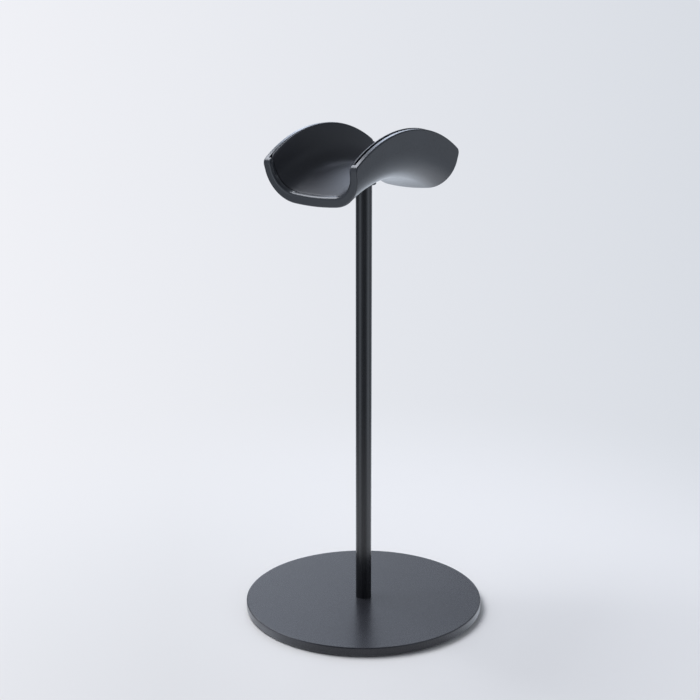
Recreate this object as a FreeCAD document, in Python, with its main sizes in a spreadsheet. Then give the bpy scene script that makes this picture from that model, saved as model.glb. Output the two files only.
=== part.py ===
import FreeCAD, Part
import Sketcher
import math
import os
from FreeCAD import Vector

# Headphone stand: a round weighted plate, one straight round pole and a saddle-shaped cradle.
# Frame: millimetres, +Z up, origin on the table under the pole's axis.  X runs along the
# cradle's arch, the way a headband lies over it, and Y runs across the channel.

# Driving dimensions, in millimetres and degrees.
DIMS = [
    # weighted base
    ("base_diameter", 130.0),
    ("base_thickness", 4.5),
    ("base_edge_round", 0.5),
    ("base_under_chamfer", 0.3),
    ("base_screw_clearance", 5.4),
    ("base_sink", 2.7),
    ("base_recess_diameter", 8.8),
    ("base_recess_depth", 1.0),
    # anti-slip pad
    ("pad_diameter", 124.0),
    ("pad_hole", 16.0),
    ("pad_thickness", 0.6),
    ("pad_edge_round", 0.15),
    # pole
    ("pole_diameter", 8.6),
    ("pole_edge", 0.3),
    ("pole_tap_foot", 13.0),
    ("pole_tap_top", 11.0),
    # M5 threads, drawn as plain cylinders at the nominal diameter
    ("thread_diameter", 5.0),
    ("thread_play", 0.05),
    ("thread_chamfer", 0.5),
    # countersunk base screw with a hexagon socket
    ("screw_head_diameter", 10.0),
    ("screw_head_rim", 0.25),
    ("screw_length", 14.0),
    ("screw_socket_af", 3.0),
    ("screw_socket_depth", 1.9),
    ("screw_sunk", 0.1),
    # set screw standing out of the pole's top
    ("stud_in_pole", 10.0),
    ("stud_out", 3.5),
    ("stud_socket_af", 2.5),
    ("stud_socket_depth", 2.4),
    # channel section: crowned floor, round corners, straight leaning walls
    ("arch_radius", 92.5),
    ("underside_centre", 238.5),
    ("crown_radius", 117.4),
    ("crown_half_angle", 6.33),
    ("corner_radius", 17.5),
    ("wall_lean", 5.8),
    ("wall_run", 17.0),
    # side profile that trims the swept channel
    ("rim_arc_radius", 82.5),
    ("rim_top", 265.1),
    ("end_foot_half", 41.95),
    ("end_foot_height", 228.8),
    ("end_tilt", 13.6),
    ("outline_drop", 8.0),
    ("frame_margin", 40.0),
    ("frame_half_width", 90.0),
    # cradle shell; face, inset and rise are its offsets from the section and the profile
    ("shell_face", 0.0),
    ("shell_inset", 0.0),
    ("shell_rise", 0.0),
    ("tip_round", 3.4),
    ("shell_thickness", 2.6),
    ("lip_height", 5.05),
    ("lip_length", 2.4),
    ("shell_outer_round", 0.7),
    ("shell_inner_round", 0.3),
    ("lip_round", 1.6),
    # how far the liner's recess is cut past the lips' height and above the rim
    ("recess_overcut", 2.0),
    ("recess_rise", 8.0),
    # boss below the cradle, with a shallow socket for the pole
    ("boss_diameter", 12.8),
    ("boss_bottom", 235.2),
    ("boss_overlap", 1.5),
    ("boss_round", 0.5),
    ("socket_depth", 1.2),
    ("socket_play", 0.05),
    # flanged threaded insert, loaded from above and covered by the liner
    ("insert_diameter", 6.6),
    ("insert_flange_diameter", 9.6),
    ("insert_flange_height", 0.8),
    ("insert_play", 0.02),
    ("insert_top", 240.8),
    ("insert_step_headroom", 3.0),
    # liner
    ("liner_thickness", 2.0),
    ("liner_gap", 0.12),
    ("liner_lip_gap", 0.8),
    ("liner_rise", 0.4),
    ("liner_tip_round", 2.0),
    ("liner_outer_round", 0.8),
    ("liner_inner_round", 0.6),
]

# Dimensions the sheet works out; each formula uses only aliases above it.
DERIVED = [
    # heights of the plate and the pole
    ("plate_top", "pad_thickness + base_thickness"),
    ("pole_bottom", "plate_top - base_recess_depth"),
    ("socket_roof", "boss_bottom + socket_depth"),
    ("pole_top", "socket_roof - socket_play"),
    ("pole_length", "pole_top - pole_bottom"),
    # threads, base screw and stud
    ("thread_radius", "thread_diameter / 2"),
    ("shank_diameter", "thread_diameter - 2 * thread_play"),
    ("shank_radius", "shank_diameter / 2"),
    ("shank_end_radius", "shank_radius - thread_chamfer"),
    ("head_radius", "screw_head_diameter / 2"),
    ("screw_bottom", "pad_thickness + screw_sunk"),
    ("head_rim_height", "screw_bottom + screw_head_rim"),
    ("screw_neck", "head_rim_height + head_radius - shank_radius"),
    ("screw_end", "screw_bottom + screw_length"),
    ("screw_chamfer_start", "screw_end - thread_chamfer"),
    ("stud_bottom", "pole_top - stud_in_pole"),
    ("stud_top", "pole_top + stud_out"),
    ("stud_length", "stud_in_pole + stud_out"),
    # boss, its holes and the insert
    ("boss_height", "underside_centre + boss_overlap - boss_bottom"),
    ("socket_diameter", "pole_diameter + 2 * socket_play"),
    ("insert_hole_diameter", "insert_diameter + 2 * insert_play"),
    ("insert_hole_depth", "insert_top - boss_bottom"),
    ("insert_radius", "insert_diameter / 2"),
    ("flange_radius", "insert_flange_diameter / 2"),
    ("flange_bottom", "insert_top - insert_flange_height"),
    ("insert_step_diameter", "insert_flange_diameter + 2 * insert_play"),
    ("insert_step_bottom", "flange_bottom - insert_play"),
    ("insert_step_depth", "insert_flange_height + insert_step_headroom"),
    # channel: height of the sweep's axis, and centres of the floor's and corners' arcs
    ("sweep_axis", "underside_centre - arch_radius"),
    ("crown_centre", "underside_centre + crown_radius"),
    ("corner_across", "(crown_radius - corner_radius) * sin(crown_half_angle * 1 deg)"),
    ("corner_centre",
     "crown_centre - (crown_radius - corner_radius) * cos(crown_half_angle * 1 deg)"),
    # side profile: lower corners without inset, and lower edge of the frame
    ("outline_bottom", "end_foot_height - outline_drop"),
    ("outline_foot_half", "end_foot_half - outline_drop * tan(end_tilt * 1 deg)"),
    ("frame_low", "outline_bottom - frame_margin"),
    # faces of the recess and the liner, as depths in the channel's wall
    ("recess_high", "lip_height + recess_overcut"),
    ("liner_low", "shell_thickness + liner_gap"),
    ("liner_high", "liner_low + liner_thickness"),
    ("liner_inset", "lip_length + liner_lip_gap"),
]

SWEEP_ANGLE = 64.0       # degrees, wide enough to reach past both ends
AXIS_LINE_HALF = 50.0    # half length of the construction line that marks the sweep's axis
RADIUS_TOLERANCE = 0.02  # for picking circular edges
WALL_TOLERANCE = 0.03    # for picking edges on the channel

# Side outlines as aliases: inset of the ends, tip radius, rise of the rim.
SHELL_OUTLINE = ("shell_inset", "tip_round", "shell_rise")
RECESS_OUTLINE = ("lip_length", "liner_tip_round", "recess_rise")
LINER_OUTLINE = ("liner_inset", "liner_tip_round", "liner_rise")

doc = FreeCAD.newDocument("headphone_stand")
sheet = doc.addObject("Spreadsheet::Sheet", "dims")
ROWS = [(alias, str(value)) for alias, value in DIMS]
ROWS += [(alias, "=" + formula) for alias, formula in DERIVED]
for row, (alias, content) in enumerate(ROWS, start=1):
    sheet.set("A%d" % row, alias)
    sheet.set("B%d" % row, content)
    sheet.setAlias("B%d" % row, alias)
doc.recompute()
dim = {alias: float(sheet.get(alias)) for alias, content in ROWS}

UP = Vector(0, 0, 1)
ORIGIN = Vector(0, 0, 0)
lean = math.radians(dim["wall_lean"])
tilt = math.radians(dim["end_tilt"])
crown_half = math.radians(dim["crown_half_angle"])


# ---------------------------------------------------------------- sketches
# Sizes and heights are passed to these helpers as aliases of the sheet.

def new_body(label):
    body = doc.addObject("PartDesign::Body", label)
    body.Label = label
    return body


def new_sketch(body, name, role, height=None):
    """A sketch on one of the body's origin planes, lifted to a height if one is given."""
    planes = {feature.Role: feature for feature in body.Origin.OriginFeatures}
    sketch = body.newObject("Sketcher::SketchObject", name)
    sketch.AttachmentSupport = [(planes[role], "")]
    sketch.MapMode = "FlatFace"
    if height:
        sketch.setExpression(".AttachmentOffset.Base.z", "dims." + height)
    return sketch


def constrain(sketch, *constraints):
    for arguments in constraints:
        sketch.addConstraint(Sketcher.Constraint(*arguments))


def bind(sketch, name, expression, *arguments):
    """A named constraint driven by an expression; the last argument is its starting value."""
    index = sketch.addConstraint(Sketcher.Constraint(*arguments))
    sketch.renameConstraint(index, name)
    sketch.setExpression("Constraints." + name, expression)


def mirrored(point):
    return Vector(-point.x, point.y, 0)


def arc(centre, radius, start, end):
    return Part.ArcOfCircle(Part.Circle(centre, UP, radius), start, end)


def add_loop(sketch, points):
    """Straight lines through the points and back to the first."""
    count = len(points)
    for i in range(count):
        sketch.addGeometry(Part.LineSegment(points[i], points[(i + 1) % count]), False)


def circle_sketch(body, name, diameter, height=None):
    """A horizontal circle about the Z axis."""
    sketch = new_sketch(body, name, "XY_Plane", height)
    sketch.addGeometry(Part.Circle(ORIGIN, UP, dim[diameter] / 2), False)
    constrain(sketch, ("Coincident", 0, 3, -1, 1))
    bind(sketch, "dia", "dims." + diameter, "Diameter", 0, dim[diameter])
    return sketch


def hexagon_sketch(body, name, across_flats, height):
    """A horizontal hexagon about the Z axis, its corners on a construction circle."""
    sketch = new_sketch(body, name, "XY_Plane", height)
    radius = dim[across_flats] / math.sqrt(3.0)
    angles = [math.radians(60 * i) for i in range(6)]
    add_loop(sketch, [Vector(radius * math.cos(a), radius * math.sin(a), 0) for a in angles])
    sketch.addGeometry(Part.Circle(ORIGIN, UP, radius), True)
    constrain(sketch, *[("Coincident", i, 2, (i + 1) % 6, 1) for i in range(6)])
    constrain(sketch, ("Coincident", 6, 3, -1, 1))
    constrain(sketch, *[("PointOnObject", i, 1, 6) for i in range(6)])
    constrain(sketch, *[("Equal", 0, i) for i in range(1, 6)])
    constrain(sketch, ("PointOnObject", 0, 1, -1))
    bind(sketch, "dia", "dims.%s * 2 / sqrt(3)" % across_flats, "Diameter", 6, 2 * radius)
    return sketch


def turned_profile(body, name, corners):
    """A closed outline on XZ.  Corners are (radius, height); radius None is on the Z axis."""
    sketch = new_sketch(body, name, "XZ_Plane")
    count = len(corners)
    add_loop(sketch, [Vector(dim[radius] if radius else 0, dim[height], 0)
                      for radius, height in corners])
    constrain(sketch, *[("Coincident", i, 2, (i + 1) % count, 1) for i in range(count)])
    for i, (radius, height) in enumerate(corners):
        if radius:
            bind(sketch, "px%d" % i, "dims." + radius, "DistanceX", -1, 1, i, 1, dim[radius])
        else:
            constrain(sketch, ("PointOnObject", i, 1, -2))
        bind(sketch, "py%d" % i, "dims." + height, "DistanceY", -1, 1, i, 1, dim[height])
    return sketch


# ---------------------------------------------------------------- features

def pad(body, name, sketch, length):
    feature = body.newObject("PartDesign::Pad", name)
    feature.Profile = sketch
    feature.Length = dim[length]
    feature.setExpression("Length", "dims." + length)
    doc.recompute()


def require_cut(feature, volume_before, least):
    if not feature.Shape.Volume < volume_before - least:
        raise RuntimeError("%s removed too little" % feature.Name)


def pocket(body, name, sketch, depth=None, upward=False):
    """Cuts the sketch out to a depth, or right through both ways when none is given."""
    before = body.Tip.Shape.Volume
    feature = body.newObject("PartDesign::Pocket", name)
    feature.Profile = sketch
    if depth:
        feature.Length = dim[depth]
        feature.setExpression("Length", "dims." + depth)
    else:
        feature.Type = "ThroughAll"
    feature.Reversed = upward
    feature.Midplane = depth is None
    doc.recompute()
    require_cut(feature, before, least=1e-4)


def revolve(body, name, sketch, axis, angle=360.0, midplane=False):
    feature = body.newObject("PartDesign::Revolution", name)
    feature.Profile = sketch
    feature.ReferenceAxis = (sketch, [axis])
    feature.Angle = angle
    feature.Midplane = midplane
    doc.recompute()


def edges_of(body, wanted):
    """Names of the edges of the body's tip that pass a test."""
    edges = body.Tip.Shape.Edges
    names = ["Edge%d" % i for i, edge in enumerate(edges, start=1) if wanted(edge)]
    if not names:
        raise RuntimeError("no edge found on " + body.Tip.Name)
    return names


def circle_edges(body, diameter, z):
    """Horizontal circles about the Z axis; the diameter and z are plain numbers."""
    def wanted(edge):
        curve = edge.Curve
        if not isinstance(curve, Part.Circle):
            return False
        centre = curve.Center
        errors = (curve.Radius - diameter / 2, centre.x, centre.y, centre.z - z)
        return all(abs(error) < RADIUS_TOLERANCE for error in errors)
    return edges_of(body, wanted)


def dress(body, name, kind, edges, size):
    """A Fillet or Chamfer on named edges of the body's tip."""
    size_property = {"Fillet": "Radius", "Chamfer": "Size"}[kind]
    base = body.Tip
    feature = body.newObject("PartDesign::" + kind, name)
    feature.Base = (base, edges)
    setattr(feature, size_property, dim[size])
    feature.setExpression(size_property, "dims." + size)
    doc.recompute()


# ---------------------------------------------------------------- base and pole

def base_pad():
    body = new_body("base_pad")
    pad(body, "pad_disc", circle_sketch(body, "pad_outline", "pad_diameter"), "pad_thickness")
    pocket(body, "pad_access_hole", circle_sketch(body, "pad_opening", "pad_hole"))
    dress(body, "pad_lower_edge", "Fillet", circle_edges(body, dim["pad_diameter"], 0),
          "pad_edge_round")
    return body


def base_plate():
    body = new_body("base_plate")
    bottom, top = dim["pad_thickness"], dim["plate_top"]
    sketch = circle_sketch(body, "plate_outline", "base_diameter", "pad_thickness")
    pad(body, "plate_disc", sketch, "base_thickness")
    pocket(body, "plate_screw_hole", circle_sketch(body, "plate_bore", "base_screw_clearance"))
    dress(body, "plate_countersink", "Chamfer",
          circle_edges(body, dim["base_screw_clearance"], bottom), "base_sink")
    sketch = circle_sketch(body, "plate_seat", "base_recess_diameter", "plate_top")
    pocket(body, "plate_pole_recess", sketch, "base_recess_depth")
    dress(body, "plate_top_edge", "Fillet", circle_edges(body, dim["base_diameter"], top),
          "base_edge_round")
    dress(body, "plate_lower_edge", "Chamfer", circle_edges(body, dim["base_diameter"], bottom),
          "base_under_chamfer")
    return body


def base_screw():
    """90 degree countersunk head, plain shank, chamfered end, hexagon socket below."""
    body = new_body("base_screw")
    sketch = turned_profile(body, "screw_profile", [
        (None, "screw_bottom"),
        ("head_radius", "screw_bottom"),
        ("head_radius", "head_rim_height"),
        ("shank_radius", "screw_neck"),
        ("shank_radius", "screw_chamfer_start"),
        ("shank_end_radius", "screw_end"),
        (None, "screw_end"),
    ])
    revolve(body, "screw_turned", sketch, "V_Axis")
    sketch = hexagon_sketch(body, "screw_socket_outline", "screw_socket_af", "screw_bottom")
    pocket(body, "screw_socket", sketch, "screw_socket_depth", upward=True)
    return body


def pole():
    """Plain rod with a tapped hole in each end."""
    body = new_body("pole")
    pad(body, "pole_rod", circle_sketch(body, "pole_outline", "pole_diameter", "pole_bottom"),
        "pole_length")
    edges = circle_edges(body, dim["pole_diameter"], dim["pole_bottom"])
    edges += circle_edges(body, dim["pole_diameter"], dim["pole_top"])
    dress(body, "pole_ends", "Chamfer", edges, "pole_edge")
    sketch = circle_sketch(body, "pole_foot_bore", "thread_diameter", "pole_bottom")
    pocket(body, "pole_foot_tapping", sketch, "pole_tap_foot", upward=True)
    sketch = circle_sketch(body, "pole_top_bore", "thread_diameter", "pole_top")
    pocket(body, "pole_top_tapping", sketch, "pole_tap_top")
    return body


def pole_stud():
    """Set screw with a hexagon socket in its upper end."""
    body = new_body("pole_stud")
    pad(body, "stud_rod", circle_sketch(body, "stud_outline", "shank_diameter", "stud_bottom"),
        "stud_length")
    edges = circle_edges(body, dim["shank_diameter"], dim["stud_bottom"])
    edges += circle_edges(body, dim["shank_diameter"], dim["stud_top"])
    dress(body, "stud_ends", "Chamfer", edges, "thread_chamfer")
    sketch = hexagon_sketch(body, "stud_socket_outline", "stud_socket_af", "stud_top")
    pocket(body, "stud_socket", sketch, "stud_socket_depth")
    return body


# ---------------------------------------------------------------- cradle sketches

def channel_sketch(body, name, low, high):
    """The U section on YZ between two depths measured in from the outer surface."""
    sketch = new_sketch(body, name, "YZ_Plane")
    crown_centre = Vector(0, dim["crown_centre"], 0)
    corner_centre = Vector(dim["corner_across"], dim["corner_centre"], 0)
    down = -math.pi / 2
    wall_angle = math.pi / 2 - lean
    geometry = []
    wall_tops = []
    # Geometry 0 to 4 is the outline at the low depth and 5 to 9 the one at the high depth:
    # floor, +Y corner, -Y corner, +Y wall, -Y wall.
    for depth in (dim[low], dim[high]):
        crown = dim["crown_radius"] - depth
        corner = dim["corner_radius"] - depth
        foot = corner_centre + Vector(math.cos(lean), -math.sin(lean), 0) * corner
        top = foot + Vector(math.sin(lean), math.cos(lean), 0) * dim["wall_run"]
        wall_tops.append(top)
        geometry += [
            arc(crown_centre, crown, down - crown_half, down + crown_half),
            arc(corner_centre, corner, down + crown_half, down + wall_angle),
            arc(mirrored(corner_centre), corner, down - wall_angle, down - crown_half),
            Part.LineSegment(foot, top),
            Part.LineSegment(mirrored(foot), mirrored(top)),
        ]
    # 10 and 11 close the tops of the walls
    geometry += [Part.LineSegment(*wall_tops),
                 Part.LineSegment(*[mirrored(top) for top in wall_tops])]
    sketch.addGeometry(geometry, False)
    # 12 is the sweep's axis
    axis_z = dim["sweep_axis"]
    sketch.addGeometry(Part.LineSegment(Vector(-AXIS_LINE_HALF, axis_z, 0),
                                        Vector(AXIS_LINE_HALF, axis_z, 0)), True)

    # smooth joints: floor to corners, corners to walls
    for floor in (0, 5):
        constrain(sketch,
                  ("Tangent", floor, 2, floor + 1, 1),
                  ("Tangent", floor + 2, 2, floor, 1),
                  ("Tangent", floor + 1, 2, floor + 3, 1),
                  ("Tangent", floor + 2, 1, floor + 4, 1))
    constrain(sketch, ("Equal", 1, 2), ("Parallel", 3, 8), ("Parallel", 4, 9))
    # walls closed square at the top
    for wall, closing in ((3, 10), (4, 11)):
        constrain(sketch,
                  ("Coincident", wall, 2, closing, 1),
                  ("Coincident", wall + 5, 2, closing, 2))
    constrain(sketch, ("Perpendicular", 3, 10), ("Perpendicular", 4, 11))
    # shared centres make one outline a true offset of the other
    constrain(sketch, *[("Coincident", i, 3, i + 5, 3) for i in range(3)])
    constrain(sketch, ("PointOnObject", 0, 3, -2))
    bind(sketch, "crown_centre", "dims.crown_centre",
         "DistanceY", -1, 1, 0, 3, dim["crown_centre"])
    bind(sketch, "crown_outer", "dims.crown_radius - dims." + low,
         "Radius", 0, dim["crown_radius"] - dim[low])
    bind(sketch, "crown_inner", "dims.crown_radius - dims." + high,
         "Radius", 5, dim["crown_radius"] - dim[high])
    bind(sketch, "corner_outer", "dims.corner_radius - dims." + low,
         "Radius", 1, dim["corner_radius"] - dim[low])
    bind(sketch, "corner_across", "dims.corner_across",
         "DistanceX", -1, 1, 1, 3, dim["corner_across"])
    bind(sketch, "corner_across_left", "dims.corner_across",
         "DistanceX", 2, 3, -1, 1, dim["corner_across"])
    bind(sketch, "wall_run", "dims.wall_run", "Distance", 3, dim["wall_run"])
    constrain(sketch, ("Equal", 3, 4))
    bind(sketch, "wall_angle", "(90 - dims.wall_lean) * 1 deg", "Angle", 3, wall_angle)
    bind(sketch, "wall_angle_left", "(90 + dims.wall_lean) * 1 deg",
         "Angle", 4, math.pi - wall_angle)
    constrain(sketch, ("Symmetric", 12, 1, 12, 2, -2), ("Distance", 12, 2 * AXIS_LINE_HALF))
    bind(sketch, "sweep_axis", "dims.sweep_axis", "DistanceY", -1, 1, 12, 1, axis_z)
    return sketch


def rim_centre_height(rise):
    return dim["rim_top"] + dim[rise] - dim["rim_arc_radius"]


def tip_centre(inset, tip, rise):
    """Centre of the +X tip, which touches the end line and the rim's arc, as (X, Z, 0)."""
    offset = dim[inset] + dim[tip]
    start = Vector(dim["end_foot_half"] - offset * math.cos(tilt),
                   dim["end_foot_height"] + offset * math.sin(tilt), 0)
    along = Vector(math.sin(tilt), math.cos(tilt), 0)
    from_centre = start - Vector(0, rim_centre_height(rise), 0)
    # distance along the end line to the circle of radius rim minus tip
    half_b = from_centre.dot(along)
    rest = from_centre.dot(from_centre) - (dim["rim_arc_radius"] - dim[tip]) ** 2
    return start + along * (-half_b + math.sqrt(half_b * half_b - rest))


def side_sketch(body, name, inset, tip, rise):
    """The side profile on XZ: a round rim over two ends that lean outwards, tips rounded.
    A frame round it makes a pocket remove everything beyond the profile.  inset moves both
    ends inwards, square to themselves, and rise lifts the rim's arc."""
    sketch = new_sketch(body, name, "XZ_Plane")
    rim_radius = dim["rim_arc_radius"]
    tip_radius = dim[tip]
    rim_centre = Vector(0, rim_centre_height(rise), 0)
    centre = tip_centre(inset, tip, rise)
    end_top = centre + Vector(math.cos(tilt), -math.sin(tilt), 0) * tip_radius
    foot_x = dim["outline_foot_half"] - dim[inset] / math.cos(tilt)
    foot = Vector(foot_x, dim["outline_bottom"], 0)
    to_tip = centre - rim_centre
    rim_angle = math.atan2(to_tip.y, to_tip.x)
    # 0 rim, 1 and 2 tips, 3 and 4 ends, 5 bottom; +X side before -X side
    sketch.addGeometry([
        arc(rim_centre, rim_radius, rim_angle, math.pi - rim_angle),
        arc(centre, tip_radius, -tilt, rim_angle),
        arc(mirrored(centre), tip_radius, math.pi - rim_angle, math.pi + tilt),
        Part.LineSegment(foot, end_top),
        Part.LineSegment(mirrored(foot), mirrored(end_top)),
        Part.LineSegment(mirrored(foot), foot),
    ], False)
    constrain(sketch,
              ("Tangent", 1, 2, 0, 1),
              ("Tangent", 2, 1, 0, 2),
              ("Tangent", 3, 2, 1, 1),
              ("Tangent", 4, 2, 2, 2),
              ("Coincident", 5, 2, 3, 1),
              ("Coincident", 5, 1, 4, 1),
              ("Equal", 1, 2))
    bind(sketch, "rim_arc", "dims.rim_arc_radius", "Radius", 0, rim_radius)
    constrain(sketch, ("PointOnObject", 0, 3, -2))
    bind(sketch, "rim_centre", "dims.rim_top - dims.rim_arc_radius + dims." + rise,
         "DistanceY", -1, 1, 0, 3, rim_centre.y)
    bind(sketch, "tip", "dims." + tip, "Radius", 1, tip_radius)
    bind(sketch, "end_angle", "(90 - dims.end_tilt) * 1 deg", "Angle", 3, math.pi / 2 - tilt)
    bind(sketch, "end_angle_left", "(90 + dims.end_tilt) * 1 deg",
         "Angle", 4, math.pi / 2 + tilt)
    bind(sketch, "bottom", "dims.outline_bottom", "DistanceY", -1, 1, 3, 1, foot.y)
    foot_formula = "dims.outline_foot_half - dims.%s / cos(dims.end_tilt * 1 deg)" % inset
    bind(sketch, "foot", foot_formula, "DistanceX", -1, 1, 3, 1, foot_x)
    bind(sketch, "foot_left", foot_formula, "DistanceX", 4, 1, -1, 1, foot_x)
    constrain(sketch, ("Horizontal", 5))

    # frame: 6 bottom, 7 +X side, 8 top, 9 -X side
    half = dim["frame_half_width"]
    low = dim["frame_low"]
    high = dim["rim_top"] + dim[rise] + dim["frame_margin"]
    add_loop(sketch, [Vector(-half, low, 0), Vector(half, low, 0),
                      Vector(half, high, 0), Vector(-half, high, 0)])
    for i in range(4):
        constrain(sketch,
                  ("Coincident", 6 + i, 2, 6 + (i + 1) % 4, 1),
                  ("Horizontal" if i % 2 == 0 else "Vertical", 6 + i))
    bind(sketch, "frame_width", "2 * dims.frame_half_width", "DistanceX", 6, 1, 6, 2, 2 * half)
    bind(sketch, "frame_left", "dims.frame_half_width", "DistanceX", 6, 1, -1, 1, half)
    bind(sketch, "frame_low", "dims.frame_low", "DistanceY", -1, 1, 6, 1, low)
    bind(sketch, "frame_high", "dims.rim_top + dims.%s + dims.frame_margin" % rise,
         "DistanceY", -1, 1, 7, 2, high)
    return sketch


def trimmed_channel(body, name, low, high, outline):
    """The channel swept along the arch, then trimmed to a side outline."""
    sketch = channel_sketch(body, name + "_section", low, high)
    revolve(body, name + "_sweep", sketch, "Axis0", angle=SWEEP_ANGLE, midplane=True)
    pocket(body, name + "_trim", side_sketch(body, name + "_side", *outline))


# ---------------------------------------------------------------- cradle edges

def depth_in_wall(point):
    """How far a point lies inside the channel's outer surface."""
    # the point's place in the section, swung back about the sweep's axis
    across = abs(point.y)
    height = dim["sweep_axis"] + math.hypot(point.x, point.z - dim["sweep_axis"])
    below_crown = dim["crown_centre"] - height
    if math.atan2(across, below_crown) < crown_half:
        return dim["crown_radius"] - math.hypot(across, below_crown)
    beside = across - dim["corner_across"]
    below = dim["corner_centre"] - height
    if below > 0 and math.atan2(beside, below) < math.pi / 2 - lean:
        return dim["corner_radius"] - math.hypot(beside, below)
    return dim["corner_radius"] - (beside * math.cos(lean) + below * math.sin(lean))


def depth_from_end(point):
    """Distance from a point to the shell's nearer end plane, positive inside."""
    return ((dim["end_foot_half"] - abs(point.x)) * math.cos(tilt)
            + (point.z - dim["end_foot_height"]) * math.sin(tilt))


def depth_from_rim(point, rise):
    """Distance from a point to the rim's arc in the side view, positive inside."""
    return dim["rim_arc_radius"] - math.hypot(point.x, point.z - rim_centre_height(rise))


def wall_edges(body, depth, test, samples=7):
    """Edges at one depth in the wall whose sample points all pass the test."""
    def wanted(edge):
        start, end = edge.FirstParameter, edge.LastParameter
        points = (edge.valueAt(start + (end - start) * (i + 0.5) / samples)
                  for i in range(samples))
        return all(abs(depth_in_wall(point) - dim[depth]) < WALL_TOLERANCE and test(point)
                   for point in points)
    return edges_of(body, wanted)


def outline_edges(body, depth, outline):
    """Edges round a trimmed side outline at one depth in the wall: rim, tips and ends."""
    inset, tip, rise = outline
    centre = tip_centre(*outline)

    def on_outline(point):
        from_tip = math.hypot(abs(point.x) - centre.x, point.z - centre.y) - dim[tip]
        distances = (depth_from_end(point) - dim[inset], depth_from_rim(point, rise), from_tip)
        return any(abs(distance) < WALL_TOLERANCE for distance in distances)

    return wall_edges(body, depth, on_outline)


# ---------------------------------------------------------------- cradle pieces

def liner_recess_tool():
    """Space for the liner: everything above the shell's floor and between its end lips."""
    body = new_body("liner_recess_tool")
    trimmed_channel(body, "recess", "shell_thickness", "recess_high", RECESS_OUTLINE)
    return body


def add_boss(body):
    """Boss below the floor, its socket for the pole, and the stepped hole for the insert."""
    pad(body, "boss", circle_sketch(body, "boss_outline", "boss_diameter", "boss_bottom"),
        "boss_height")
    dress(body, "boss_edge", "Fillet",
          circle_edges(body, dim["boss_diameter"], dim["boss_bottom"]), "boss_round")
    # name, outline's name, diameter, bottom, depth
    for name, outline, diameter, bottom, depth in (
            ("pole_socket", "socket_outline", "socket_diameter", "boss_bottom",
             "socket_depth"),
            ("insert_hole", "insert_hole_outline", "insert_hole_diameter", "socket_roof",
             "insert_hole_depth"),
            ("insert_step", "insert_step_outline", "insert_step_diameter",
             "insert_step_bottom", "insert_step_depth")):
        sketch = circle_sketch(body, outline, diameter, bottom)
        pocket(body, name, sketch, depth, upward=True)


def cradle_shell():
    recess = liner_recess_tool()
    body = new_body("cradle_shell")
    trimmed_channel(body, "shell", "shell_face", "lip_height", SHELL_OUTLINE)
    dress(body, "shell_outer_edge", "Fillet", outline_edges(body, "shell_face", SHELL_OUTLINE),
          "shell_outer_round")
    dress(body, "shell_lip_edge", "Fillet", outline_edges(body, "lip_height", SHELL_OUTLINE),
          "lip_round")
    # the recess comes after the outer rounds and leaves a lip at each end
    before = body.Tip.Shape.Volume
    cut = body.newObject("PartDesign::Boolean", "shell_recess")
    cut.Type = "Cut"
    cut.addObject(recess)
    doc.recompute()
    require_cut(cut, before, least=1000)
    # the shell's inner rim beside the liner
    rim_edges = wall_edges(
        body, "shell_thickness",
        lambda point: abs(depth_from_rim(point, "shell_rise")) < WALL_TOLERANCE)
    dress(body, "shell_inner_rim", "Fillet", rim_edges, "shell_inner_round")
    add_boss(body)
    return body


def cradle_insert():
    """Threaded sleeve with a flange at its top."""
    body = new_body("cradle_insert")
    sketch = turned_profile(body, "insert_profile", [
        ("thread_radius", "socket_roof"),
        ("insert_radius", "socket_roof"),
        ("insert_radius", "flange_bottom"),
        ("flange_radius", "flange_bottom"),
        ("flange_radius", "insert_top"),
        ("thread_radius", "insert_top"),
    ])
    revolve(body, "insert_turned", sketch, "V_Axis")
    return body


def cradle_liner():
    body = new_body("cradle_liner")
    trimmed_channel(body, "liner", "liner_low", "liner_high", LINER_OUTLINE)
    dress(body, "liner_outer_edge", "Fillet", outline_edges(body, "liner_low", LINER_OUTLINE),
          "liner_outer_round")
    dress(body, "liner_inner_edge", "Fillet", outline_edges(body, "liner_high", LINER_OUTLINE),
          "liner_inner_round")
    return body


# ---------------------------------------------------------------- build and write

pieces = [base_pad(), base_plate(), base_screw(), pole(), pole_stud(),
          cradle_shell(), cradle_insert(), cradle_liner()]
doc.recompute()
for obj in doc.Objects:
    if "Invalid" in obj.State or "Error" in obj.State:
        raise RuntimeError("%s failed: %s" % (obj.Name, obj.State))
os.makedirs("parts", exist_ok=True)
for piece in pieces:
    shape = piece.Shape
    if shape.isNull() or not shape.isValid() or len(shape.Solids) != 1:
        raise RuntimeError("%s has no single valid solid" % piece.Label)
    shape.exportStep(os.path.join("parts", piece.Label + ".step"))
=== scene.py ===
# A stand: a base plate lying on the floor, a pole rising along Z and a cradle on top, lined with
# a soft saddle-shaped liner that arches along X and curves up at both sides in Y.
# World units are metres, with +Z up.  The stage is set out in the camera's frame and turned
# into the world by to_world.

import math
from collections import namedtuple
from functools import cached_property

import bmesh
import bpy
import numpy as np
from mathutils import Matrix, Vector


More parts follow.
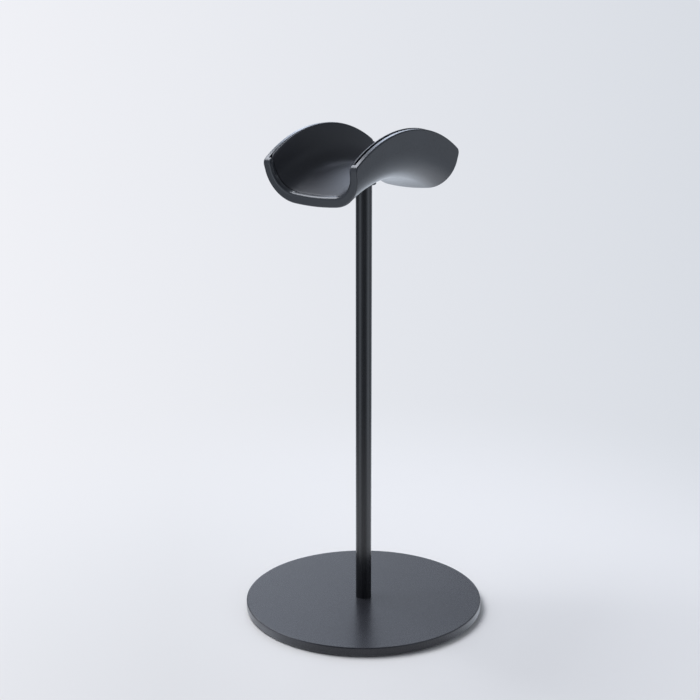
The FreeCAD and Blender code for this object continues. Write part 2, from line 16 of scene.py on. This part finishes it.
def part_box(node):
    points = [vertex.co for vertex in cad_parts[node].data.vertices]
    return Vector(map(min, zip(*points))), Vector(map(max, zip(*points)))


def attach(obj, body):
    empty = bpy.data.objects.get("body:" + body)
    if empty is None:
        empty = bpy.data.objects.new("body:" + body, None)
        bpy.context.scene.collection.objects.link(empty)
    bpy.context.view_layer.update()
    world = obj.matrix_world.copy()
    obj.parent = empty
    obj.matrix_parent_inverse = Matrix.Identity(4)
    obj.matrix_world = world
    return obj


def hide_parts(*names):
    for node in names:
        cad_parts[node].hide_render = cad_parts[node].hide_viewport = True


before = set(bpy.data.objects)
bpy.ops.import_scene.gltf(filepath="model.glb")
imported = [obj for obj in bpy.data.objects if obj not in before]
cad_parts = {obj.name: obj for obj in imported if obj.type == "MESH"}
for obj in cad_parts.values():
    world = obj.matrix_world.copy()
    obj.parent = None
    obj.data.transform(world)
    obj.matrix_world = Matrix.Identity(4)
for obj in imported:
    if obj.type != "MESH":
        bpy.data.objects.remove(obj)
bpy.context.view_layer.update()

scene = bpy.context.scene


# ------------------------------------------------------------------ node helpers

NOISE_SPAN = (0.3, 0.7)  # the part of a noise's range that drives colour and roughness


class Nodes:
    """Builds a node tree.  Inputs take a socket to link, a value, or None to stay as they are."""

    def __init__(self, tree):
        self.tree = tree
        tree.nodes.clear()

    def add(self, kind, inputs=None, **props):
        node = self.tree.nodes.new(kind)
        for name, value in props.items():
            setattr(node, name, value)
        for key, value in (inputs or {}).items():
            self.feed(node.inputs[key], value)
        return node

    def feed(self, socket, value):
        if isinstance(value, bpy.types.NodeSocket):
            self.tree.links.new(value, socket)
        elif value is not None:
            socket.default_value = (*value, 1.0) if socket.type == "RGBA" else value

    @cached_property
    def object_coords(self):
        return self.add("ShaderNodeTexCoord").outputs["Object"]

    def noise(self, scale, detail=3.0, rough=0.5, vector=None):
        inputs = {
            "Scale": scale, "Detail": detail, "Roughness": rough,
            "Vector": vector or self.object_coords,
        }
        return self.add("ShaderNodeTexNoise", inputs).outputs["Fac"]

    def remap(self, value, span, to=(0.0, 1.0), smooth=False):
        """Maps value from span onto to, clamped."""
        inputs = {
            "Value": value, "From Min": span[0], "From Max": span[1],
            "To Min": to[0], "To Max": to[1],
        }
        kind = "SMOOTHSTEP" if smooth else "LINEAR"
        return self.add("ShaderNodeMapRange", inputs, interpolation_type=kind).outputs["Result"]

    def mix_colour(self, factor, first, second):
        # a Mix node's sockets 6 and 7 are its colours A and B, and output 2 its colour result
        inputs = {0: factor, 6: first, 7: second}
        return self.add("ShaderNodeMix", inputs, data_type="RGBA").outputs[2]

    def mottle(self, noise, dark, light, span=NOISE_SPAN):
        return self.mix_colour(self.remap(noise, span), dark, light)

    def maths(self, operation, a, b):
        return self.add("ShaderNodeMath", {0: a, 1: b}, operation=operation).outputs[0]

    def measure(self, operation, a, b=None):
        """A vector operation that gives a single number."""
        node = self.add("ShaderNodeVectorMath", {0: a, 1: b}, operation=operation)
        return node.outputs["Value"]

    def component(self, vector, axis):
        return self.add("ShaderNodeSeparateXYZ", {0: vector}).outputs[axis]

    def window_x(self):
        """0 at the left of the picture, 1 at its right."""
        return self.component(self.add("ShaderNodeTexCoord").outputs["Window"], "X")

    def bump(self, height, distance, strength, normal=None):
        inputs = {"Distance": distance, "Strength": strength, "Height": height, "Normal": normal}
        return self.add("ShaderNodeBump", inputs).outputs["Normal"]

    def emission(self, colour, strength):
        inputs = {"Color": colour, "Strength": strength}
        return self.add("ShaderNodeEmission", inputs).outputs[0]

    def mix_shader(self, factor, first, second):
        return self.add("ShaderNodeMixShader", {0: factor, 1: first, 2: second}).outputs[0]


class Material(Nodes):
    """A material with a Principled surface."""

    def __init__(self, name):
        self.material = bpy.data.materials.new(name)
        self.material.use_nodes = True
        super().__init__(self.material.node_tree)
        self.principled = self.add("ShaderNodeBsdfPrincipled")

    def set(self, **values):
        """Feeds Principled inputs, with _ for the spaces in their names."""
        for name, value in values.items():
            self.feed(self.principled.inputs[name.replace("_", " ")], value)

    def vary_roughness(self, noise, low, high):
        self.set(Roughness=self.remap(noise, NOISE_SPAN, to=(low, high)))

    def wear_edges(self, colour, worn, radius, amount):
        """Shows the worn colour on convex edges, broken up by noise."""
        bevel = self.add("ShaderNodeBevel", {"Radius": radius}, samples=4).outputs["Normal"]
        normal = self.add("ShaderNodeNewGeometry").outputs["Normal"]
        edge = self.remap(self.measure("DOT_PRODUCT", bevel, normal), span=(0.995, 0.90))
        broken = self.remap(self.noise(900.0, detail=4.0, rough=0.6), span=(0.42, 0.62))
        wear = self.maths("MULTIPLY", self.maths("MULTIPLY", edge, broken), amount)
        return self.mix_colour(wear, colour, worn)

    def paint(self, obj, shader=None):
        shader = shader or self.principled.outputs["BSDF"]
        self.add("ShaderNodeOutputMaterial", {"Surface": shader})
        obj.data.materials.clear()
        obj.data.materials.append(self.material)


# ------------------------------------------------------------------ materials

def powder_coat():
    """Fine-textured satin powder coat."""
    m = Material("base_powder_coat")
    fine = m.noise(2600.0, rough=0.6)
    coarse = m.noise(900.0, detail=2.0)
    cloud = m.noise(22.0)
    colour = m.mottle(cloud, dark=(0.0225, 0.0228, 0.0265), light=(0.0285, 0.0288, 0.0335))
    colour = m.wear_edges(colour, worn=(0.12, 0.12, 0.13), radius=0.0004, amount=0.30)
    fine_share = m.maths("MULTIPLY", fine, 0.6)
    cloud_share = m.maths("MULTIPLY", cloud, 0.4)
    m.vary_roughness(m.maths("ADD", fine_share, cloud_share), low=0.24, high=0.30)
    fine_bump = m.bump(fine, distance=0.00002, strength=0.5)
    coarse_bump = m.bump(coarse, distance=0.00004, strength=0.35, normal=fine_bump)
    m.set(Base_Color=colour, Normal=coarse_bump, IOR=1.42)
    return m


def satin_lacquer():
    """Smooth black lacquer with faint streaks along Z."""
    m = Material("pole_satin_black")
    stretch = {"Scale": (30, 30, 0.6), "Vector": m.object_coords}
    streak = m.noise(60.0, vector=m.add("ShaderNodeMapping", stretch).outputs["Vector"])
    speck = m.noise(1800.0, rough=0.6)
    dark, light = (0.0105, 0.0108, 0.0128), (0.0145, 0.0150, 0.0172)
    colour = m.mottle(streak, dark, light, span=(0.35, 0.65))
    m.vary_roughness(streak, low=0.17, high=0.22)
    m.set(Base_Color=colour, Normal=m.bump(speck, distance=0.000006, strength=0.4), IOR=1.48)
    return m


def satin_plastic():
    """Satin moulded plastic."""
    m = Material("cradle_satin_plastic")
    grain = m.noise(3200.0, detail=2.0)
    cloud = m.noise(35.0)
    colour = m.mottle(cloud, dark=(0.025, 0.0275, 0.0325), light=(0.031, 0.0335, 0.039))
    colour = m.wear_edges(colour, worn=(0.085, 0.087, 0.095), radius=0.0003, amount=0.2)
    m.vary_roughness(cloud, low=0.22, high=0.27)
    m.set(Base_Color=colour, Normal=m.bump(grain, distance=0.000008, strength=0.5), IOR=1.54)
    return m


def soft_silicone():
    """Soft-touch silicone."""
    m = Material("liner_soft_silicone")
    grain = m.noise(2400.0, rough=0.6)
    cloud = m.noise(40.0)
    colour = m.mottle(cloud, dark=(0.0195, 0.0205, 0.0255), light=(0.0245, 0.0258, 0.0315))
    m.vary_roughness(cloud, low=0.43, high=0.48)
    m.set(Base_Color=colour, Normal=m.bump(grain, distance=0.000012, strength=0.5), IOR=1.45)
    return m


def plated_zinc():
    m = Material("zinc_plated_steel")
    grain = m.noise(700.0, rough=0.6)
    colour = m.mottle(grain, dark=(0.50, 0.51, 0.53), light=(0.62, 0.63, 0.65))
    m.vary_roughness(grain, low=0.24, high=0.38)
    m.set(Base_Color=colour, Normal=m.bump(grain, distance=0.00001, strength=0.4), Metallic=1.0)
    return m


def turned_brass():
    m = Material("turned_brass")
    grain = m.noise(500.0)
    colour = m.mottle(grain, dark=(0.70, 0.50, 0.22), light=(0.80, 0.60, 0.30))
    m.vary_roughness(grain, low=0.22, high=0.35)
    m.set(Base_Color=colour, Metallic=1.0)
    return m


def pad_rubber():
    m = Material("pad_rubber")
    grain = m.noise(1500.0, detail=4.0, rough=0.65)
    cloud = m.noise(30.0)
    colour = m.mottle(cloud, dark=(0.016, 0.016, 0.017), light=(0.026, 0.026, 0.027))
    m.vary_roughness(grain, low=0.75, high=0.92)
    m.set(Base_Color=colour, Normal=m.bump(grain, distance=0.00012, strength=0.6))
    return m


coat = powder_coat()
lacquer = satin_lacquer()
plastic = satin_plastic()
silicone = soft_silicone()
zinc = plated_zinc()
brass = turned_brass()
rubber = pad_rubber()

for part, material in (
    ("base_plate", coat), ("pole", lacquer), ("cradle_shell", plastic), ("base_screw", zinc),
    ("pole_stud", zinc), ("cradle_insert", brass), ("base_pad", rubber),
):
    material.paint(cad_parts[part])


# ------------------------------------------------------------------ liner

# The liner is in the frame of the cradle's geometry, in millimetres: a channel section (curved
# floor, round corners, leaning walls) carried along an arch in XZ, cut by a round rim and two
# leaning ends.  Radii are those of the shell's outer face, and the liner's two faces are offset
# inwards from it.
FLOOR_RADIUS, CORNER_RADIUS, ARCH_RADIUS, RIM_RADIUS = 117.4, 17.5, 92.5, 82.5
FLOOR_ANGLE = math.radians(6.33)  # half the floor's arc
WALL_LEAN = math.radians(5.8)     # outwards from vertical
END_LEAN = math.radians(13.6)     # outwards from vertical
OUTER_OFFSET, INNER_OFFSET = 2.72, 4.72
RIM_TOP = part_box("cradle_liner")[1][2] * 1000.0
UNDERSIDE = RIM_TOP - 27.0        # the shell's outer face at the top of the arch
FOOT_X, FOOT_Z = 41.95, RIM_TOP - 36.7  # a point on the shell's end plane
END_INSET = 3.2                   # from that plane to the liner's end

ARCH_AXIS_Z = UNDERSIDE - ARCH_RADIUS
FLOOR_CENTRE_Z = UNDERSIDE + FLOOR_RADIUS
CORNER_Y = (FLOOR_RADIUS - CORNER_RADIUS) * math.sin(FLOOR_ANGLE)
CORNER_Z = FLOOR_CENTRE_Z - (FLOOR_RADIUS - CORNER_RADIUS) * math.cos(FLOOR_ANGLE)
WALL_ANGLE = math.pi / 2 - WALL_LEAN  # where the corner's arc meets the wall
RIM_CENTRE_Z = RIM_TOP - RIM_RADIUS

# distances in from the outline of the mesh lines that shape the edges
EDGE_STEPS = [0.0, 0.07, 0.24, 0.50, 0.90, 1.30, 1.60, 1.80, 2.20]
BAND = EDGE_STEPS[-1]
WALL_SEGMENTS, CORNER_SEGMENTS, FLOOR_SEGMENTS, ARCH_SEGMENTS = 7, 14, 6, 44

# (distance in from the outline, offset from the face): the inner face is rounded along the rim
# and squarer at the ends, and the outer face has a rebate all round
RIM_PROFILE = [(0.0, -0.95), (0.07, -0.62), (0.24, -0.34), (0.50, -0.13), (0.90, 0.0)]
END_PROFILE = [(0.0, -0.30), (0.07, -0.16), (0.24, -0.05), (0.50, -0.01), (0.90, 0.0)]
REBATE = 0.62
REBATE_PROFILE = [
    (0.0, REBATE + 0.22), (0.07, REBATE + 0.06), (0.24, REBATE), (1.30, REBATE - 0.02),
    (1.60, 0.45), (1.80, 0.12), (BAND, 0.0),
]

# Row: zone of the section; at is an angle, or on a wall a fraction of its height; edge is the
# distance in from the rim; side is the sign of Y.
Row = namedtuple("Row", "zone at edge side")
# Column: at is a fraction of the half arch, from -1 to 1; edge is the distance in from the end.
Column = namedtuple("Column", "at edge")


def profile(table, distance):
    return np.interp(distance, *zip(*table))


def end_angle(radius, inward):
    """Arch angle of the liner's end at this radius, moved inwards from its outline."""
    gap = (END_INSET + inward - FOOT_X * math.cos(END_LEAN)
           - (ARCH_AXIS_Z - FOOT_Z) * math.sin(END_LEAN))
    return END_LEAN - math.asin(gap / radius)


def rim_distance(angle):
    """Distance from the arch's axis to the rim circle at this arch angle."""
    rise = ARCH_AXIS_Z - RIM_CENTRE_Z
    cos = math.cos(angle)
    return -cos * rise + math.sqrt(cos * cos * rise * rise - rise * rise + RIM_RADIUS ** 2)


def section_point(row, offset, arch_angle):
    """Y and Z on the section, before it is swung round the arch."""
    if row.zone == "floor":
        radius = FLOOR_RADIUS - offset
        return radius * math.sin(row.at), FLOOR_CENTRE_Z - radius * math.cos(row.at)
    radius = CORNER_RADIUS - offset
    angle = row.at if row.zone == "corner" else WALL_ANGLE
    y = CORNER_Y + radius * math.sin(angle)
    z = CORNER_Z - radius * math.cos(angle)
    if row.zone == "wall":
        height = (rim_distance(arch_angle) + ARCH_AXIS_Z - z) / math.cos(WALL_LEAN)
        along = row.at * (height - row.edge)
        y += along * math.sin(WALL_LEAN)
        z += along * math.cos(WALL_LEAN)
    return y, z


def liner_point(row, column, offset):
    # wall height and arch angle depend on each other, so they are settled by iteration
    arch_angle = 0.0
    for _ in range(8):
        y, z = section_point(row, offset, arch_angle)
        radius = z - ARCH_AXIS_Z
        settled = column.at * end_angle(radius, column.edge)
        if abs(settled - arch_angle) < 1e-9:
            break
        arch_angle = settled
    x = radius * math.sin(arch_angle)
    z = ARCH_AXIS_Z + radius * math.cos(arch_angle)
    return Vector((x, row.side * y, z)) / 1000.0


def face_point(row, column, inner):
    # closeness to the rim and to the end, 1 on the outline and 0 beyond the edge band
    rim = 1 - row.edge / BAND
    end = 1 - column.edge / BAND
    # the square corner of the grid is mapped to a round one
    round_rim = rim * math.sqrt(1 - end * end / 2)
    round_end = end * math.sqrt(1 - rim * rim / 2)
    distance = BAND * (1 - min(1.0, math.hypot(round_rim, round_end)))
    if inner:
        share = end / (rim + end) if rim + end > 0 else 0.0
        blend = share * share * (3 - 2 * share)
        at_rim = profile(RIM_PROFILE, distance)
        at_end = profile(END_PROFILE, distance)
        offset = INNER_OFFSET + at_rim + (at_end - at_rim) * blend
    else:
        offset = OUTER_OFFSET + profile(REBATE_PROFILE, distance)
    row = row._replace(edge=BAND * (1 - round_rim))
    column = column._replace(edge=BAND * (1 - round_end))
    return liner_point(row, column, offset)


def liner_rows():
    """From the rim on +Y, across the floor, to the rim on -Y."""
    half = [Row("wall", 1, step, 1) for step in EDGE_STEPS]
    half += [Row("wall", 1 - k / WALL_SEGMENTS, BAND, 1) for k in range(1, WALL_SEGMENTS)]
    half += [Row("corner", WALL_ANGLE + (FLOOR_ANGLE - WALL_ANGLE) * k / CORNER_SEGMENTS, BAND, 1)
             for k in range(CORNER_SEGMENTS)]
    half += [Row("floor", FLOOR_ANGLE * (1 - k / FLOOR_SEGMENTS), BAND, 1)
             for k in range(FLOOR_SEGMENTS)]
    return half + [Row("floor", 0.0, BAND, 1)] + [r._replace(side=-1) for r in reversed(half)]


def liner_columns():
    """From the end on +X to the end on -X."""
    columns = [Column(1, step) for step in EDGE_STEPS]
    columns += [Column(1 - 2 * k / ARCH_SEGMENTS, BAND) for k in range(1, ARCH_SEGMENTS)]
    return columns + [Column(-1, step) for step in reversed(EDGE_STEPS)]


def liner_mesh():
    rows, columns = liner_rows(), liner_columns()
    last_row, last_column = len(rows) - 1, len(columns) - 1
    bm = bmesh.new()
    top, bottom = [
        [[bm.verts.new(face_point(row, column, inner)) for column in columns] for row in rows]
        for inner in (True, False)
    ]
    for i in range(last_row):
        for j in range(last_column):
            for sheet, quad in (
                (top, ((i, j), (i + 1, j), (i + 1, j + 1), (i, j + 1))),
                (bottom, ((i, j), (i, j + 1), (i + 1, j + 1), (i + 1, j))),
            ):
                bm.faces.new([sheet[a][b] for a, b in quad])
    # a strip round the outline joins the two sheets
    ring = [(0, j) for j in range(last_column + 1)]
    ring += [(i, last_column) for i in range(1, last_row + 1)]
    ring += [(last_row, j) for j in range(last_column - 1, -1, -1)]
    ring += [(i, 0) for i in range(last_row - 1, 0, -1)]
    for (i, j), (k, m) in zip(ring, ring[1:] + ring[:1]):
        bm.faces.new((top[i][j], top[k][m], bottom[k][m], bottom[i][j]))
    bmesh.ops.recalc_face_normals(bm, faces=bm.faces[:])
    for face in bm.faces:
        face.smooth = True
    mesh = bpy.data.meshes.new("soft_liner")
    bm.to_mesh(mesh)
    bm.free()
    return mesh


liner = bpy.data.objects.new("soft_liner", liner_mesh())
scene.collection.objects.link(liner)
subdivision = liner.modifiers.new("smooth", "SUBSURF")
subdivision.levels = subdivision.render_levels = 1
silicone.paint(liner)
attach(liner, "cradle")
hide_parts("cradle_liner")


# ------------------------------------------------------------------ stage

TURN = math.radians(35.18)
# the world's X and Y axes in the camera's frame
WORLD_X = Vector((-math.sin(TURN), -math.cos(TURN), 0))
WORLD_Y = Vector((math.cos(TURN), -math.sin(TURN), 0))


def to_world(v):
    """From the camera's frame (X right, Y away from the camera, Z up) to the world."""
    return Vector((v.dot(WORLD_X), v.dot(WORLD_Y), v.z))


def linear(*srgb):
    return tuple(((v / 255.0 + 0.055) / 1.055) ** 2.4 for v in srgb)


BACKDROP_LEFT, BACKDROP_RIGHT = linear(240, 241, 246), linear(217, 221, 228)
BOUNCE_COLOUR = (0.70, 0.765, 0.86)  # the floor as the stand sees it

# (bearing in degrees, half the brightness): bearing 0 is towards the camera, positive to its
# right; halves keep the ramp's numbers between 0 and 1
FLOOR_STOPS = [
    (-180, 0.70), (-165, 0.60), (-140, 0.34), (-110, 0.10), (-87, 0.28), (-69, 0.46),
    (-53, 1.00), (-38, 0.55), (-21, 0.20), (0, 0.15), (24, 0.16), (39, 0.34), (54, 0.80),
    (66, 1.00), (75, 0.96), (86, 0.60), (97, 0.40), (109, 0.32), (123, 0.38), (145, 0.42),
    (165, 0.64), (180, 0.70),
]
WORLD_STOPS = [
    (-180, 0.62), (-173, 0.88), (-163, 0.88), (-150, 0.52), (-136, 0.44), (-105, 0.16),
    (-80, 0.22), (-56, 0.50), (-38, 0.32), (-16, 0.10), (0, 0.06), (26, 0.06), (44, 0.20),
    (62, 0.44), (84, 0.44), (96, 0.34), (108, 0.18), (128, 0.12), (148, 0.12), (160, 0.16),
    (171, 0.32), (180, 0.60),
]


def backdrop_colour(n):
    """Pale backdrop, a little brighter on the left of the picture."""
    return n.mix_colour(n.remap(n.window_x(), span=(0.0, 1.0)), BACKDROP_LEFT, BACKDROP_RIGHT)


def surroundings(n, vector, stops):
    """Brightness of the studio by the bearing of vector."""
    rightwards = n.measure("DOT_PRODUCT", vector, to_world(Vector((1.0, 0.0, 0.0))))
    towards = n.measure("DOT_PRODUCT", vector, to_world(Vector((0.0, -1.0, 0.0))))
    bearing = n.maths("ARCTAN2", rightwards, towards)
    curve = n.add("ShaderNodeValToRGB", {"Fac": n.remap(bearing, span=(-math.pi, math.pi))})
    curve.color_ramp.interpolation = "EASE"
    elements = curve.color_ramp.elements
    elements.remove(elements[-1])
    for i, (degrees, half) in enumerate(stops):
        # the ramp's own first element serves as the stop at -180
        element = elements.new((degrees + 180.0) / 360.0) if i else elements[0]
        element.color = (half, half, half, 1.0)
    return n.maths("MULTIPLY", curve.outputs["Color"], 2.0)


def paint_floor(floor):
    m = Material("studio_floor")
    # painted light: the lamp is on the left, so the paper's colour is painted darker on the left
    # of the picture and lighter to its right, to even out the lamp's falloff
    painted_evening_tone = m.mix_colour(m.remap(m.window_x(), span=(0.25, 1.0)),
                        (0.785, 0.755, 0.715), (0.955, 0.920, 0.880))
    m.set(Base_Color=painted_evening_tone, Roughness=0.9, Specular_IOR_Level=0.1)
    position = m.add("ShaderNodeNewGeometry").outputs["Position"]
    far = m.remap(m.measure("LENGTH", position), span=(0.09, 0.42), smooth=True)

    # rays other than the camera's see the far floor as the studio's lit and unlit sides
    ray = m.add("ShaderNodeLightPath").outputs
    seen = ray["Is Camera Ray"]
    unseen = m.maths("SUBTRACT", 1.0, seen)
    brightness = surroundings(m, position, FLOOR_STOPS)
    glow = m.emission(
        m.mix_colour(seen, BOUNCE_COLOUR, backdrop_colour(m)),
        m.maths("ADD", seen, m.maths("MULTIPLY", unseen, brightness)))

    # painted bounce light: the paper near the stand also glows for rays other than the camera's,
    # throwing more of the lamp into the stand than the camera sees
    bounce = m.emission(
        BOUNCE_COLOUR, m.maths("MULTIPLY", m.maths("MULTIPLY", unseen, brightness), 0.6))
    paper = {0: m.principled.outputs["BSDF"], 1: bounce}
    near = m.add("ShaderNodeAddShader", paper).outputs[0]
    lit = m.mix_shader(far, near, glow)

    # seen from below, and from the pad lying on it, the paper lets light through
    short = m.maths("MULTIPLY", m.maths("LESS_THAN", ray["Ray Length"], 0.0008), unseen)
    behind = m.add("ShaderNodeNewGeometry").outputs["Backfacing"]
    clear = m.add("ShaderNodeBsdfTransparent").outputs[0]
    m.material.cycles.emission_sampling = "NONE"
    m.paint(floor, m.mix_shader(m.maths("MAXIMUM", behind, short), lit, clear))


def build_world():
    world = bpy.data.worlds.new("studio")
    scene.world = world
    world.use_nodes = True
    n = Nodes(world.node_tree)
    direction = n.add("ShaderNodeTexCoord").outputs["Generated"]
    height = n.component(direction, "Z")
    # the bearings' light dims above the horizon, where a faint even light takes over
    dimming = n.remap(height, span=(0.36, 0.52), to=(1.0, 0.22), smooth=True)
    overhead = n.remap(height, span=(0.28, 0.62), to=(0.0, 0.16), smooth=True)
    around = n.maths("MULTIPLY", surroundings(n, direction, WORLD_STOPS), dimming)
    lit = n.add("ShaderNodeBackground", {
        "Color": (0.86, 0.94, 1.08), "Strength": n.maths("ADD", around, overhead)})
    seen = n.add("ShaderNodeBackground", {"Color": backdrop_colour(n)})
    is_camera = n.add("ShaderNodeLightPath").outputs["Is Camera Ray"]
    surface = n.mix_shader(is_camera, lit.outputs[0], seen.outputs[0])
    n.add("ShaderNodeOutputWorld", {"Surface": surface})


bpy.ops.mesh.primitive_circle_add(
    vertices=128, radius=8.0, fill_type="NGON", location=(0, 0, -0.0002))
studio_floor = bpy.context.object
studio_floor.name = "studio_floor"
paint_floor(studio_floor)
build_world()

scene.view_settings.view_transform = "Standard"
scene.view_settings.look = "None"
scene.view_settings.exposure = 0.0
scene.view_settings.gamma = 1.0


# ------------------------------------------------------------------ camera

SENSOR_WIDTH, LENS = 36.0, 73.882286  # millimetres
DISTANCE, HEIGHT = 0.7406, 0.3406
PITCH = math.radians(14.678)  # downwards
YAW = math.radians(-0.566)    # negative to the left
ROLL = math.radians(-0.085)


def build_camera():
    forward = Vector((math.sin(YAW) * math.cos(PITCH), math.cos(YAW) * math.cos(PITCH),
                      -math.sin(PITCH)))
    level = forward.cross(Vector((0, 0, 1))).normalized()
    upright = level.cross(forward)
    cos, sin = math.cos(ROLL), math.sin(ROLL)
    right = cos * level + sin * upright
    up = -sin * level + cos * upright
    data = bpy.data.cameras.new("camera")
    camera = bpy.data.objects.new("camera", data)
    scene.collection.objects.link(camera)
    data.sensor_width = SENSOR_WIDTH
    data.lens = LENS
    data.clip_start, data.clip_end = 0.01, 50.0
    axes = Matrix((to_world(right), to_world(up), -to_world(forward))).transposed()
    place = Matrix.Translation(to_world(Vector((0, -DISTANCE, HEIGHT))))
    camera.matrix_world = place @ axes.to_4x4()
    scene.camera = camera


build_camera()


# ------------------------------------------------------------------ lights

def soft_box(name, place, target, size, power, colour):
    """A rectangular lamp; place and target are in the camera's frame."""
    data = bpy.data.lights.new(name, "AREA")
    data.shape = "RECTANGLE"
    data.size, data.size_y = size
    data.energy = power
    data.color = colour
    lamp = bpy.data.objects.new(name, data)
    scene.collection.objects.link(lamp)
    start, end = to_world(Vector(place)), to_world(Vector(target))
    lamp.location = start
    lamp.rotation_mode = "QUATERNION"
    lamp.rotation_quaternion = (end - start).to_track_quat("-Z", "Y")
    lamp.visible_camera = False


soft_box("overhead_softbox", place=(-0.58, 0.26, 1.10), target=(0, 0, 0.2), size=(0.80, 0.80),
         power=12.2, colour=(0.94, 0.98, 1.07))
soft_box("back_panel", place=(-0.03, 0.64, 0.66), target=(0, 0, 0.24), size=(0.52, 0.30),
         power=1.3, colour=(0.82, 0.92, 1.12))
